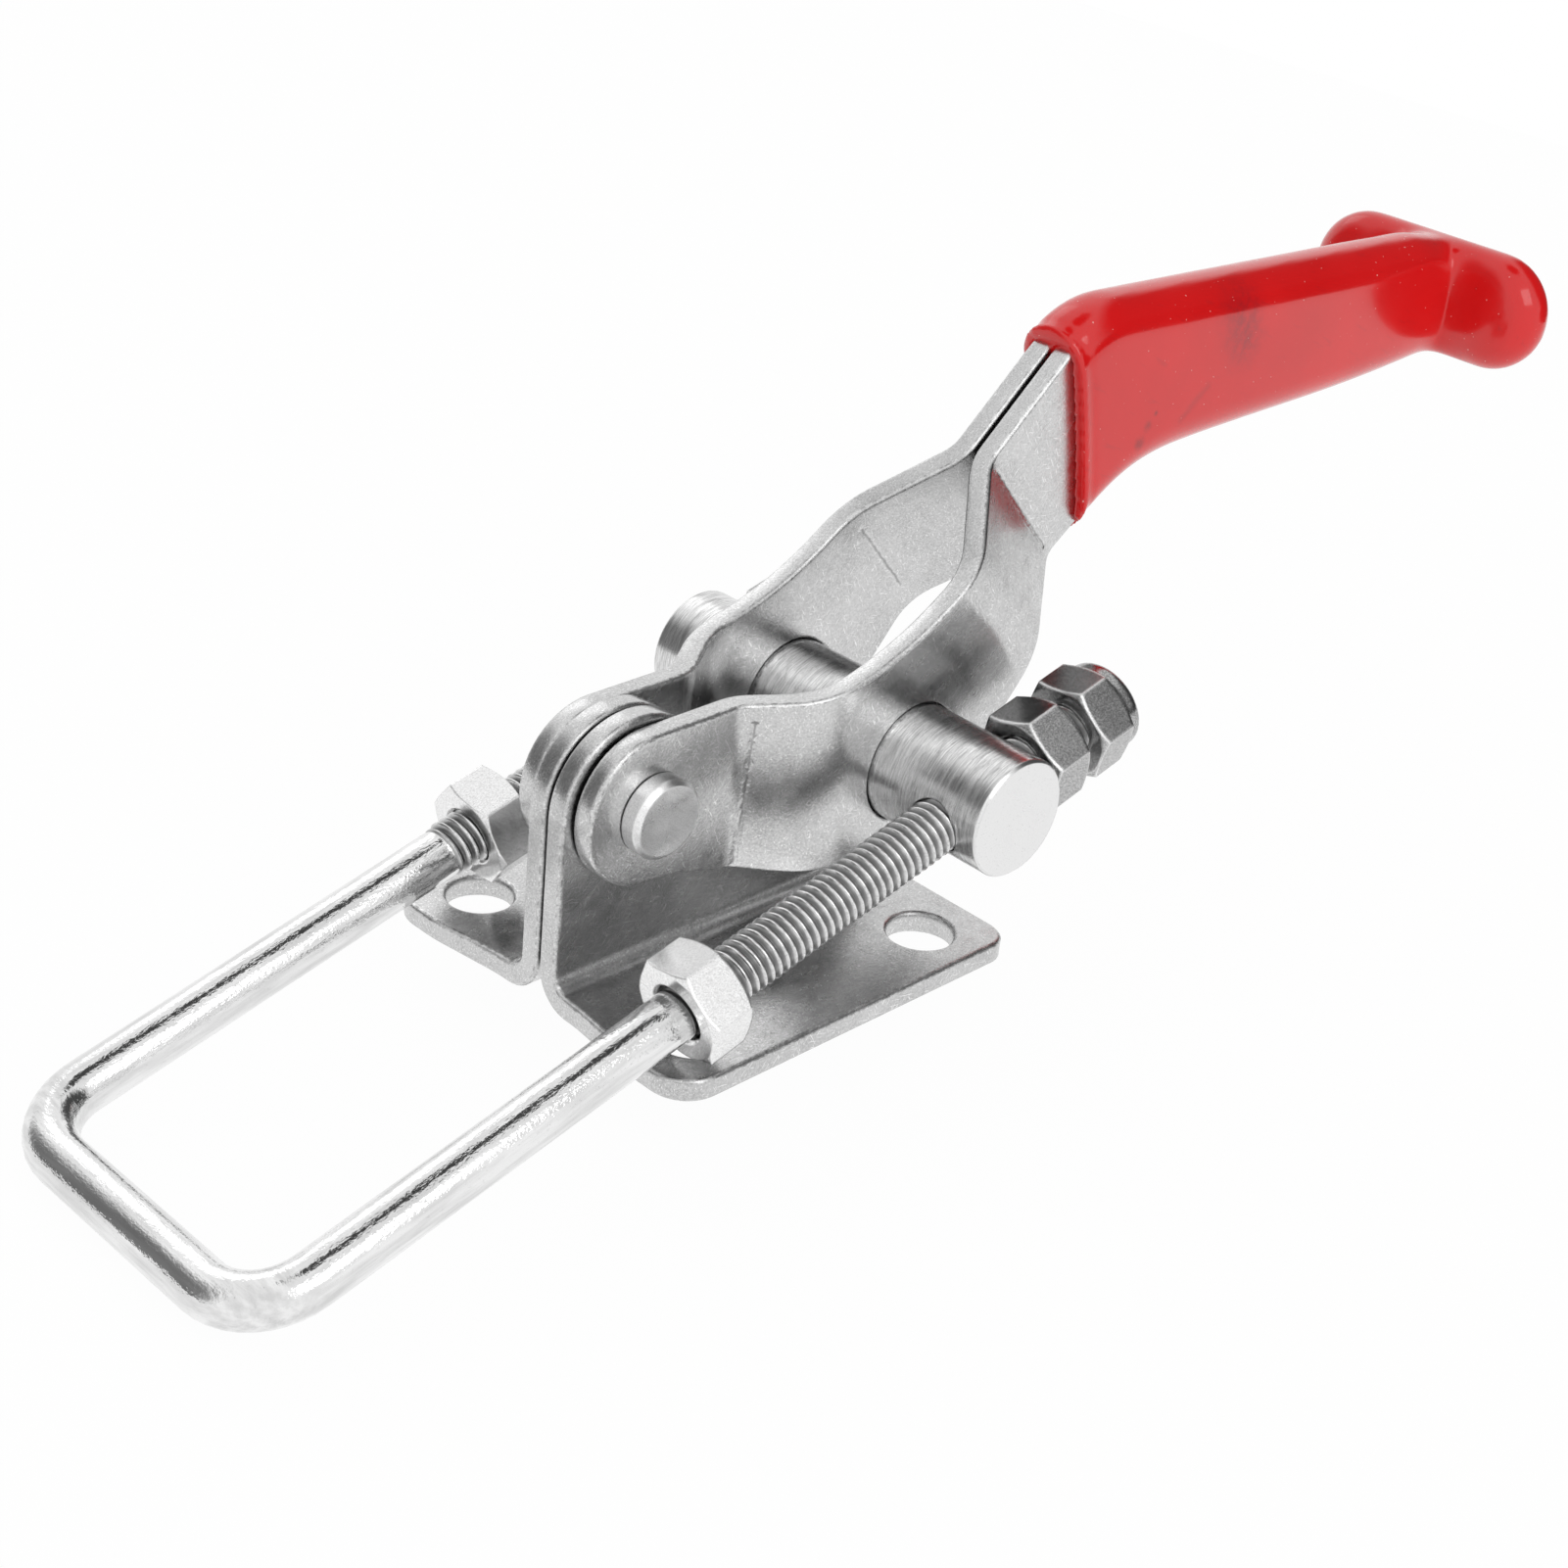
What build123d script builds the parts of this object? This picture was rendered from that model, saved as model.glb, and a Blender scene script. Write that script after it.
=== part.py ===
from build123d import *
import os
from math import acos, atan2, cos, hypot, radians, sin, tan

os.makedirs("parts", exist_ok=True)

# Over centre toggle latch with an adjustable U-bolt, shown closed.
# Origin: centre of the four base holes, on the underside of the base.
# Axes: +X to the handle's end, +Z up, the width along Y. Left is -Y.

# Sheet metal
sheet = 2.5
rim = 0.35

# Base: two angle plates back to back
base_front = -23.0
base_rear = 23.2
base_half_width = 22.45
base_gap = 0.1
base_bend = 2.0
base_front_corner = 4.5
base_rear_corner = 3.0
hole_spacing = 32.0
hole_radius = 3.5
ear_front = -21.85
ear_radius = 9.0
flange_slant_start = 6.0
flange_slant_end = 15.0
flange_slant_radius = 20.0
ear_rear = 21.6
ear_seat_height = 12.3
ear_seat_front = 10.5
ear_foot_height = 5.5
ear_foot_end = 3.5
ear_corner = 1.5

# Pivot pin, riveted at both ends
pin_x = -12.85
pin_z = 20.95
pin_radius = 3.5
pin_head_radius = 4.2
pin_head_start = 5.42
pin_head_end = 7.55
pin_head_chamfer = 0.5

# Cross barrel that carries the U-bolt
barrel_x = 18.4
barrel_z = 18.85
barrel_shift = -1.1
barrel_radius = 6.35
barrel_length = 47.0
barrel_chamfer = 0.3

# Handle plates, measured from the barrel's axis
nose_middle = 4.05
bulge_middle = 8.95
root_middle = 1.45
root_bend_radius = 5.0
bulge_bend_radius = 10.0
front_bend_start = -19.9
front_bend_end = -12.6
rear_bend_start = 17.85
rear_bend_end = 28.8
rear_bend_angle = 41.0
nose_radius = 8.1
nose_rise = 0.15
handle_angle = 41.5
shoulder_radius = 40.0
shoulder_x = -3.45
knee_x = 29.1
knee_radius = 12.0
grip_slope = -2.3
belly_height = -8.8
belly_x = -13.5
belly_radius = 8.7
under_bend_height = 23.3
tail_x = 97.6
tail_bend_radius = 2.75
tail_bottom = 24.85
tail_top = 36.1
tail_half_width = 14.5
tail_corner = 5.55
rim_end = 60.0
running_clearance = 0.05

# Vinyl grip
coat_side = 1.4
coat_edge = 1.5
coat_top = 1.8
grip_round = 3.95
arm_top = 37.4
arm_bottom = 23.35
arm_half_width = 16.0
arm_corner = 6.95
arm_round = 2.5
mouth_top = (24.5, 40.6)
mouth_middle = (28.1, 28.2)
mouth_bottom = (31.0, 12.6)

# U-bolt, measured forwards from the barrel's axis along its legs
bolt_angle = 14.74
leg_offset = 17.78
wire_radius = 2.62
thread_radius = 2.95
thread_front = 41.0
thread_rear = -19.3
bar_distance = 89.8
corner_radius = 6.7
leg_hole_clearance = 0.08

# Nuts
nut_corner_radius = 5.77
nut_flat_radius = nut_corner_radius * cos(radians(30))
nut_thickness = 5.0
nut_chamfer_angle = 30.0
nut_countersink = 0.35
rear_nut_start = -6.42
lock_nut_start = -13.4
lock_hex_length = 4.6
lock_nut_length = 6.5
lock_collar_radius = 4.85
insert_length = 1.5
front_nut_left_middle = 38.4
front_nut_right_middle = 34.5
front_nut_left_turn = 20.0
front_nut_right_turn = 41.0
rear_nut_turn = 13.5
lock_nut_turn = 20.6

# Directions of the U-bolt's legs and of the handle's rear bends
leg_x = -cos(radians(bolt_angle))
leg_z = -sin(radians(bolt_angle))
reach_x = cos(radians(rear_bend_angle))
reach_z = sin(radians(rear_bend_angle))


def from_barrel(x, z):
    """A point of the handle's side outline, given from the barrel's axis."""
    return (barrel_x + x, barrel_z + z)


def leg_plane(y, distance):
    """The plane across one leg, its normal forwards along the leg."""
    spot = (barrel_x + leg_x * distance, y, barrel_z + leg_z * distance)
    return Plane(origin=spot, x_dir=(leg_z, 0, -leg_x), z_dir=(leg_x, 0, leg_z))


def leg_section_plane(y, start):
    """The upright plane along one leg, for a profile turned round the leg from start."""
    return Plane(origin=leg_plane(y, start).origin, x_dir=(leg_z, 0, -leg_x), z_dir=(0, -1, 0))


def sharp_edges(part):
    """The edges where two faces of a part meet at an angle, without the seams of smooth bends."""
    faces = part.faces()

    def is_sharp(edge):
        normals = [f.normal_at(edge @ 0.5) for f in faces if any(e.is_same(edge) for e in f.edges())]
        return len(normals) == 2 and normals[0].dot(normals[1]) < 0.9

    return part.edges().filter_by(is_sharp)


def hex_nut(name, y, start, turn):
    """A plain hex nut, chamfered on both sides, from start forwards along its leg."""
    with BuildPart() as nut:
        with BuildSketch(leg_plane(y, start)):
            RegularPolygon(nut_corner_radius, 6, rotation=-turn)
        extrude(amount=nut_thickness)
        with BuildSketch(leg_section_plane(y, start)):
            with BuildLine():
                drop = (nut_corner_radius + 0.2 - nut_flat_radius) * tan(radians(nut_chamfer_angle))
                Polyline(
                    (0, 0),
                    (nut_flat_radius, 0),
                    (nut_corner_radius + 0.2, drop),
                    (nut_corner_radius + 0.2, nut_thickness - drop),
                    (nut_flat_radius, nut_thickness),
                    (0, nut_thickness),
                    close=True,
                )
            make_face()
        revolve(axis=Axis(leg_plane(y, start).origin, (leg_x, 0, leg_z)), mode=Mode.INTERSECT)
        with BuildSketch(leg_plane(y, start)):
            Circle(thread_radius)
        extrude(amount=nut_thickness, mode=Mode.SUBTRACT)
        mouths = nut.edges().filter_by(GeomType.CIRCLE).filter_by(lambda e: e.radius < thread_radius + 0.1)
        chamfer(mouths, nut_countersink)
    nut.part.label = name
    export_step(nut.part, "parts/" + name + ".step")
    return nut


def lock_nut(name, y, turn):
    """A lock nut whose round collar holds the insert; the hex faces forwards."""
    with BuildPart() as nut:
        with BuildSketch(leg_plane(y, lock_nut_start - lock_hex_length)):
            RegularPolygon(nut_corner_radius, 6, rotation=-turn)
        extrude(amount=lock_hex_length)
        spot = leg_plane(y, lock_nut_start).origin
        with BuildSketch(leg_section_plane(y, lock_nut_start)):
            with BuildLine():
                drop = (nut_corner_radius + 0.2 - nut_flat_radius) * tan(radians(nut_chamfer_angle))
                Polyline(
                    (0, 0),
                    (nut_flat_radius, 0),
                    (nut_corner_radius + 0.2, -drop),
                    (nut_corner_radius + 0.2, drop - lock_hex_length),
                    (nut_flat_radius, -lock_hex_length),
                    (0, -lock_hex_length),
                    close=True,
                )
            make_face()
        revolve(axis=Axis(spot, (leg_x, 0, leg_z)), mode=Mode.INTERSECT)
        with BuildSketch(leg_plane(y, lock_nut_start - lock_hex_length)):
            Circle(lock_collar_radius)
        extrude(amount=lock_hex_length - lock_nut_length)
        end_edges = nut.edges().filter_by(GeomType.CIRCLE).sort_by(Axis(spot, (leg_x, 0, leg_z)))
        fillet(end_edges[0], 0.9)
        with BuildSketch(leg_plane(y, lock_nut_start)):
            Circle(thread_radius)
        extrude(amount=-lock_nut_length, mode=Mode.SUBTRACT)
        with BuildSketch(leg_plane(y, lock_nut_start - lock_nut_length + 0.4)):
            Circle(thread_radius + 0.75)
        extrude(amount=insert_length, mode=Mode.SUBTRACT)
        near_hole = nut.edges().filter_by(GeomType.CIRCLE).sort_by(Axis(spot, (leg_x, 0, leg_z)))[-1]
        chamfer(near_hole, nut_countersink)
    nut.part.label = name
    export_step(nut.part, "parts/" + name + ".step")
    return nut


def insert_ring(name, y):
    """The ring inside a lock nut's collar, gripping the thread."""
    with BuildPart() as ring:
        with BuildSketch(leg_plane(y, lock_nut_start - lock_nut_length + 0.4)):
            Circle(thread_radius + 0.75)
            Circle(thread_radius, mode=Mode.SUBTRACT)
        extrude(amount=insert_length)
    ring.part.label = name
    export_step(ring.part, "parts/" + name + ".step")
    return ring


# The ear's slope leaves its round end at a tangent and runs down to the seat
seat_x = ear_seat_front - pin_x
seat_z = ear_seat_height - pin_z
slope_start = atan2(seat_z, seat_x) + acos(ear_radius / hypot(seat_x, seat_z))

# Left base plate: an angle with an ear for the pivot pin and two bolt holes
with BuildPart() as base_left:
    with BuildSketch(Plane.YZ.offset(base_front)):
        with BuildLine():
            FilletPolyline(
                (-base_gap - sheet / 2, pin_z + ear_radius + 1),
                (-base_gap - sheet / 2, sheet / 2),
                (-base_half_width, sheet / 2),
                radius=base_bend + sheet / 2,
            )
        trace(line_width=sheet)
    extrude(amount=base_rear - base_front)
    with BuildSketch(Plane.XZ):
        with BuildLine():
            Polyline(
                (ear_front, pin_z),
                (ear_front, sheet),
                (base_front, sheet),
                (base_front, -1),
                (base_rear, -1),
            )
            FilletPolyline(
                (base_rear, -1),
                (base_rear, ear_foot_end),
                (ear_rear, ear_foot_height),
                (ear_rear, ear_seat_height),
                (ear_seat_front, ear_seat_height),
                (pin_x + ear_radius * cos(slope_start), pin_z + ear_radius * sin(slope_start)),
                radius=ear_corner,
            )
            RadiusArc(
                (pin_x + ear_radius * cos(slope_start), pin_z + ear_radius * sin(slope_start)),
                (ear_front, pin_z),
                -ear_radius,
            )
        make_face()
    extrude(amount=base_half_width + 1, both=True, mode=Mode.INTERSECT)
    with BuildSketch(Plane.XY.offset(-1)):
        with BuildLine():
            FilletPolyline(
                (ear_front, 1),
                (ear_front, -flange_slant_start),
                (base_front, -flange_slant_end),
                (base_front, -base_half_width),
                radius=flange_slant_radius,
            )
            Polyline(
                (base_front, -base_half_width),
                (base_rear, -base_half_width),
                (base_rear, 1),
                (ear_front, 1),
            )
        make_face()
        edge_corners = vertices().filter_by(lambda v: v.Y < 1 - base_half_width).sort_by(Axis.X)
        fillet(edge_corners[0], base_front_corner)
        edge_corners = vertices().filter_by(lambda v: v.Y < 1 - base_half_width).sort_by(Axis.X)
        fillet(edge_corners[-1], base_rear_corner)
    extrude(amount=40, mode=Mode.INTERSECT)
    with BuildSketch(Plane.XY.offset(-1)):
        with Locations((-hole_spacing / 2, -hole_spacing / 2), (hole_spacing / 2, -hole_spacing / 2)):
            Circle(hole_radius)
    extrude(amount=sheet + 2, mode=Mode.SUBTRACT)
    with BuildSketch(Plane.XZ):
        with Locations((pin_x, pin_z)):
            Circle(pin_radius)
    extrude(amount=base_half_width, mode=Mode.SUBTRACT)
    chamfer(sharp_edges(base_left), rim)
base_left.part.label = "base_left"
export_step(base_left.part, "parts/base_left.step")

# Right base plate: the mirror image
with BuildPart() as base_right:
    mirror(base_left.part, about=Plane.XZ)
base_right.part.label = "base_right"
export_step(base_right.part, "parts/base_right.step")

# Pivot pin with a chamfered head at each end
with BuildPart() as pivot_pin:
    with BuildSketch(Plane.XZ):
        with Locations((pin_x, pin_z)):
            Circle(pin_radius)
    extrude(amount=pin_head_end, both=True)
    for side in (-1, 1):
        with BuildSketch(Plane.XZ.offset(side * pin_head_start)):
            with Locations((pin_x, pin_z)):
                Circle(pin_head_radius)
        extrude(amount=side * (pin_head_end - pin_head_start))
    chamfer(pivot_pin.edges().group_by(Axis.Y)[0], pin_head_chamfer)
    chamfer(pivot_pin.edges().group_by(Axis.Y)[-1], pin_head_chamfer)
pivot_pin.part.label = "pivot_pin"
export_step(pivot_pin.part, "parts/pivot_pin.step")

# Side outline of a handle plate, from the nose round the pin to the flared end
nose_x = pin_x - barrel_x
nose_z = pin_z - barrel_z + nose_rise
nose_top = nose_z + nose_radius
line_slope = tan(radians(handle_angle))
grip_line = tan(radians(grip_slope))
knee_z = nose_top + (knee_x - shoulder_x) * line_slope
with BuildSketch(Plane.XZ) as side_outline:
    with BuildLine():
        tail_run = tail_x + 6 - knee_x
        FilletPolyline(
            from_barrel(nose_x, nose_top),
            from_barrel(shoulder_x, nose_top),
            from_barrel(knee_x - 14, knee_z - 14 * line_slope),
            radius=shoulder_radius,
        )
        FilletPolyline(
            from_barrel(knee_x - 14, knee_z - 14 * line_slope),
            from_barrel(knee_x, knee_z),
            from_barrel(tail_x + 6, knee_z + tail_run * grip_line),
            radius=knee_radius,
        )
        Line(
            from_barrel(tail_x + 6, knee_z + tail_run * grip_line),
            from_barrel(tail_x + 6, tail_bottom + 0.35),
        )
        FilletPolyline(
            from_barrel(tail_x + 6, tail_bottom + 0.35),
            from_barrel(73, under_bend_height + 0.1),
            from_barrel(48, under_bend_height),
            radius=60,
        )
        Spline(
            from_barrel(48, under_bend_height),
            from_barrel(38.5, 21.5),
            from_barrel(32, 17.2),
            from_barrel(26.5, 13.2),
            from_barrel(19.5, 8.2),
            from_barrel(belly_radius * cos(radians(-45)), belly_radius * sin(radians(-45))),
            tangents=[(-1, 0), (-1, -1)],
        )
        CenterArc((barrel_x, barrel_z), belly_radius, -45, -47)
        Spline(
            from_barrel(belly_radius * cos(radians(-92)), belly_radius * sin(radians(-92))),
            from_barrel(belly_x, belly_height),
            from_barrel(nose_x + 6, nose_z - nose_radius - 0.9),
            from_barrel(nose_x, nose_z - nose_radius),
            tangents=[(-1, 0.035), (-1, 0)],
        )
        CenterArc((pin_x, pin_z + nose_rise), nose_radius, 270, -180)
    make_face()

# Left handle plate: joggled outwards round the barrel, closed up at the grip, flared at the end
with BuildPart() as handle_left:
    with BuildSketch(Plane.XY):
        with BuildLine():
            FilletPolyline(
                (barrel_x - 45, -nose_middle),
                (barrel_x + front_bend_start, -nose_middle),
                (barrel_x + front_bend_end, -bulge_middle),
                (barrel_x + 30, -bulge_middle),
                radius=(root_bend_radius, bulge_bend_radius),
            )
        trace(line_width=sheet)
    extrude(amount=70)
    split(
        bisect_by=Plane(
            origin=(barrel_x + 4 * reach_x, 0, barrel_z + 4 * reach_z),
            z_dir=(reach_x, 0, reach_z),
        ),
        keep=Keep.BOTTOM,
    )
    with BuildSketch(
        Plane(
            origin=(barrel_x, 0, barrel_z),
            x_dir=(reach_x, 0, reach_z),
            z_dir=(-reach_z, 0, reach_x),
        )
    ):
        with BuildLine():
            FilletPolyline(
                (4, -bulge_middle),
                (rear_bend_start, -bulge_middle),
                (rear_bend_end, -root_middle),
                (36, -root_middle),
                radius=(bulge_bend_radius, root_bend_radius),
            )
        trace(line_width=sheet)
    extrude(amount=40, both=True)
    with BuildSketch(Plane.XZ.offset(root_middle - sheet / 2)):
        with BuildLine():
            Polyline(
                from_barrel(36 * reach_x + 30 * reach_z, 36 * reach_z - 30 * reach_x),
                from_barrel(36 * reach_x - 30 * reach_z, 36 * reach_z + 30 * reach_x),
                from_barrel(tail_x - sheet / 2 - tail_bend_radius, 70),
                from_barrel(tail_x - sheet / 2 - tail_bend_radius, 0),
                close=True,
            )
        make_face()
    extrude(amount=sheet)
    with BuildSketch(Plane.XY.offset(barrel_z + 15)):
        with BuildLine():
            FilletPolyline(
                (barrel_x + tail_x - sheet / 2 - tail_bend_radius, -root_middle),
                (barrel_x + tail_x, -root_middle),
                (barrel_x + tail_x, -tail_half_width),
                radius=tail_bend_radius,
            )
        trace(line_width=sheet)
    extrude(amount=30)
    add(extrude(side_outline.sketch, amount=30, both=True, mode=Mode.PRIVATE), mode=Mode.INTERSECT)
    # Pivot and barrel holes
    with BuildSketch(Plane.XZ):
        with Locations((pin_x, pin_z)):
            Circle(pin_radius + running_clearance)
        with Locations((barrel_x, barrel_z)):
            Circle(barrel_radius + running_clearance)
    extrude(amount=30, both=True, mode=Mode.SUBTRACT)
    # Rounded outer corners of the flared end
    with BuildSketch(Plane.YZ.offset(barrel_x + tail_x - sheet)):
        with Locations((-tail_half_width, barrel_z + (tail_bottom + tail_top) / 2)):
            Rectangle(2 * tail_corner, 40)
        with Locations((0, barrel_z + (tail_bottom + tail_top) / 2)):
            RectangleRounded(2 * tail_half_width, tail_top - tail_bottom, tail_corner, mode=Mode.SUBTRACT)
    extrude(amount=2 * sheet, mode=Mode.SUBTRACT)
    # Broken edges, apart from the flared end inside the grip
    open_edges = sharp_edges(handle_left).filter_by(lambda e: e.center().X < barrel_x + rim_end)
    chamfer(open_edges, rim)
handle_left.part.label = "handle_left"
export_step(handle_left.part, "parts/handle_left.step")

# Right handle plate: the mirror image
with BuildPart() as handle_right:
    mirror(handle_left.part, about=Plane.XZ)
handle_right.part.label = "handle_right"
export_step(handle_right.part, "parts/handle_right.step")

# Grip: a vinyl coat round both plates, with a T-shaped end
coat_half = root_middle + sheet / 2 + coat_side
coat_slope = tan(radians(handle_angle))
coat_rise = coat_top / cos(radians(handle_angle))
arm_front = barrel_x + tail_x - sheet / 2 - coat_side
with BuildPart() as grip:
    with BuildSketch(Plane.XZ):
        with BuildLine():
            FilletPolyline(
                from_barrel(knee_x - 12, knee_z - 12 * coat_slope + coat_rise),
                from_barrel(knee_x - 0.4, knee_z - 0.4 * coat_slope + coat_rise),
                from_barrel(tail_x - 9, knee_z + coat_top + (tail_x - 9 - knee_x) * grip_line),
                radius=knee_radius + coat_edge,
            )
            Spline(
                from_barrel(tail_x - 9, knee_z + coat_top + (tail_x - 9 - knee_x) * grip_line),
                from_barrel(tail_x, arm_top - 0.1),
                tangents=[(1, grip_line), (1, -0.1)],
            )
            Polyline(
                from_barrel(tail_x, arm_top - 0.1),
                from_barrel(tail_x, tail_bottom - coat_edge),
            )
            Spline(
                from_barrel(tail_x, tail_bottom - coat_edge),
                from_barrel(78, 22.1),
                from_barrel(50, 21.6),
                from_barrel(37.5, 19.5),
                from_barrel(24, 9.6),
                tangents=[(-1, -0.1), (-1, -0.75)],
            )
            Line(
                from_barrel(24, 9.6),
                from_barrel(knee_x - 12, knee_z - 12 * coat_slope + coat_rise),
            )
        make_face()
    extrude(amount=coat_half, both=True)
    side_edges = grip.edges().filter_by(lambda e: abs(abs(e.center().Y) - coat_half) < 0.01)
    top_edges = side_edges.filter_by(lambda e: e.center().Z > barrel_z + 33)
    under_edges = side_edges.filter_by(GeomType.BSPLINE)
    fillet(top_edges + under_edges, grip_round)
    # The mouth, a shallow curve across both sides
    with BuildSketch(Plane.XZ):
        with BuildLine():
            ThreePointArc(from_barrel(*mouth_top), from_barrel(*mouth_middle), from_barrel(*mouth_bottom))
            Polyline(
                from_barrel(*mouth_bottom),
                from_barrel(mouth_bottom[0], -20),
                from_barrel(-20, -20),
                from_barrel(-20, 60),
                from_barrel(mouth_top[0], 60),
                from_barrel(*mouth_top),
            )
        make_face()
    extrude(amount=20, both=True, mode=Mode.SUBTRACT)
    # The arms
    with BuildSketch(Plane.YZ.offset(arm_front)):
        with Locations((0, barrel_z + (arm_top + arm_bottom) / 2)):
            RectangleRounded(2 * arm_half_width, arm_top - arm_bottom, arm_corner)
    arm = extrude(amount=sheet + 2 * coat_side, mode=Mode.PRIVATE)
    arm_rims = arm.edges().group_by(Axis.X)[0] + arm.edges().group_by(Axis.X)[-1]
    add(arm.fillet(arm_round, arm_rims))
    add(handle_left.part, mode=Mode.SUBTRACT)
    add(handle_right.part, mode=Mode.SUBTRACT)
grip.part.label = "grip"
export_step(grip.part, "parts/grip.step")

# Cross barrel with a hole for each leg
with BuildPart() as barrel:
    with BuildSketch(Plane.XZ.offset(-barrel_shift)):
        with Locations((barrel_x, barrel_z)):
            Circle(barrel_radius)
    extrude(amount=barrel_length / 2, both=True)
    chamfer(barrel.edges().filter_by(GeomType.CIRCLE), barrel_chamfer)
    for side in (-1, 1):
        with BuildSketch(leg_plane(barrel_shift + side * leg_offset, 0)):
            Circle(thread_radius + leg_hole_clearance)
        extrude(amount=2 * barrel_radius, both=True, mode=Mode.SUBTRACT)
barrel.part.label = "barrel"
export_step(barrel.part, "parts/barrel.step")

# U-bolt: two threaded legs joined by a bar
with BuildPart() as u_bolt:
    with BuildLine():
        bar_x = barrel_x + leg_x * bar_distance
        bar_z = barrel_z + leg_z * bar_distance
        start_x = barrel_x + leg_x * thread_front
        start_z = barrel_z + leg_z * thread_front
        FilletPolyline(
            (start_x, barrel_shift - leg_offset, start_z),
            (bar_x, barrel_shift - leg_offset, bar_z),
            (bar_x, barrel_shift + leg_offset, bar_z),
            (start_x, barrel_shift + leg_offset, start_z),
            radius=corner_radius,
        )
    with BuildSketch(leg_plane(barrel_shift - leg_offset, thread_front)):
        Circle(wire_radius)
    sweep()
    for side in (-1, 1):
        with BuildSketch(leg_plane(barrel_shift + side * leg_offset, thread_rear)):
            Circle(thread_radius)
        leg = extrude(amount=thread_front - thread_rear, mode=Mode.PRIVATE)
        ends = leg.edges().filter_by(GeomType.CIRCLE)
        add(leg.chamfer(thread_radius - wire_radius, None, ends))
u_bolt.part.label = "u_bolt"
export_step(u_bolt.part, "parts/u_bolt.step")

# Nuts: one plain nut on each side of the barrel and a lock nut behind, on both legs
left_leg = barrel_shift - leg_offset
right_leg = barrel_shift + leg_offset
front_left_start = front_nut_left_middle - nut_thickness / 2
front_right_start = front_nut_right_middle - nut_thickness / 2
front_nut_left = hex_nut("front_nut_left", left_leg, front_left_start, front_nut_left_turn)
front_nut_right = hex_nut("front_nut_right", right_leg, front_right_start, front_nut_right_turn)
rear_nut_left = hex_nut("rear_nut_left", left_leg, rear_nut_start - nut_thickness, rear_nut_turn)
rear_nut_right = hex_nut("rear_nut_right", right_leg, rear_nut_start - nut_thickness, rear_nut_turn)
lock_nut_left = lock_nut("lock_nut_left", left_leg, lock_nut_turn)
lock_nut_right = lock_nut("lock_nut_right", right_leg, lock_nut_turn)
lock_insert_left = insert_ring("lock_insert_left", left_leg)
lock_insert_right = insert_ring("lock_insert_right", right_leg)
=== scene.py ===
import math

import bpy
import numpy as np
from mathutils import Matrix, Vector


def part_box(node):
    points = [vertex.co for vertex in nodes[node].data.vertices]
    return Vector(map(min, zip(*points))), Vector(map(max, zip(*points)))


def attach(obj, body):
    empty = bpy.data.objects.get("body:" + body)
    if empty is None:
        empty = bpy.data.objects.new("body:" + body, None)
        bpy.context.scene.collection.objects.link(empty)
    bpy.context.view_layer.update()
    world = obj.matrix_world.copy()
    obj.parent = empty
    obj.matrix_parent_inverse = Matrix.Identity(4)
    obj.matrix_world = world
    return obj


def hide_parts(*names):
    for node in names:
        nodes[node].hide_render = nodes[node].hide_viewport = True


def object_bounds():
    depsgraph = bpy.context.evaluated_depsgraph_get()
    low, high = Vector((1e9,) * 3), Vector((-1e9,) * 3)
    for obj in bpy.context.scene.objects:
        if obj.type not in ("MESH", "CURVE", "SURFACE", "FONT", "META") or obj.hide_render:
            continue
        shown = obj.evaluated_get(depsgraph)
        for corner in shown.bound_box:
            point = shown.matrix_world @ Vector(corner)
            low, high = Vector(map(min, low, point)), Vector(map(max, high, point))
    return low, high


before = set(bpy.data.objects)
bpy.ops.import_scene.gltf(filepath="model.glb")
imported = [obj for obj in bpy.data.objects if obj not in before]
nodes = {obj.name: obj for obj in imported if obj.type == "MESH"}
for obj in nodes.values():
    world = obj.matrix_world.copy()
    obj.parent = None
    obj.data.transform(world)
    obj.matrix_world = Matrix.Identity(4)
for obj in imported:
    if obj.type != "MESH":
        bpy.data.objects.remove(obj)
cad_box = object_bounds()

# Sizes are in metres and angles in degrees where nothing else is said
mm = 0.001

# Camera, solved from points on the latch; lens and sensor in millimetres,
# shift in widths of the picture, range from the nearest to the farthest thing seen
camera_spot = (-171.7 * mm, -169.3 * mm, 149.4 * mm)
camera_azimuth = -46.37
camera_elevation = 28.34
camera_roll = 5.50
camera_lens = 63.16
camera_sensor = 36.0
camera_shift = (0.0193, -0.0079)
camera_range = (0.01, 20.0)

# Table top, just under the U-bolt's bar, which hangs a little below the base;
# the glow is the share of it that is plain white, so that only a faint shadow stays
floor_height = cad_box[0].z - 1.0 * mm
floor_size = 0.8
floor_level = 0.97
floor_roughness = 0.9
floor_glow = 0.96

# Studio tent round the latch, and the dark gaps between its panels:
# azimuth, elevation, radius and softness of each, then its depth from 0 to 1
tent_level = 1.0
dark_gaps = (
    (-18, 22, 36, 8, 0.92),
    (138, 16, 28, 15, 0.80),
    (0, 84, 12, 4, 0.94),
    (-34, -2, 25, 6, 0.94),
)
lamp_size = 0.45

# Barrel axis, and the tilt of the U-bolt's legs down towards the front, as in the CAD
barrel_x = 18.4 * mm
barrel_z = 18.85 * mm
bolt_tilt = 14.74
bolt_angle = math.radians(bolt_tilt)
leg_direction = Vector((-math.cos(bolt_angle), 0, -math.sin(bolt_angle)))

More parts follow.
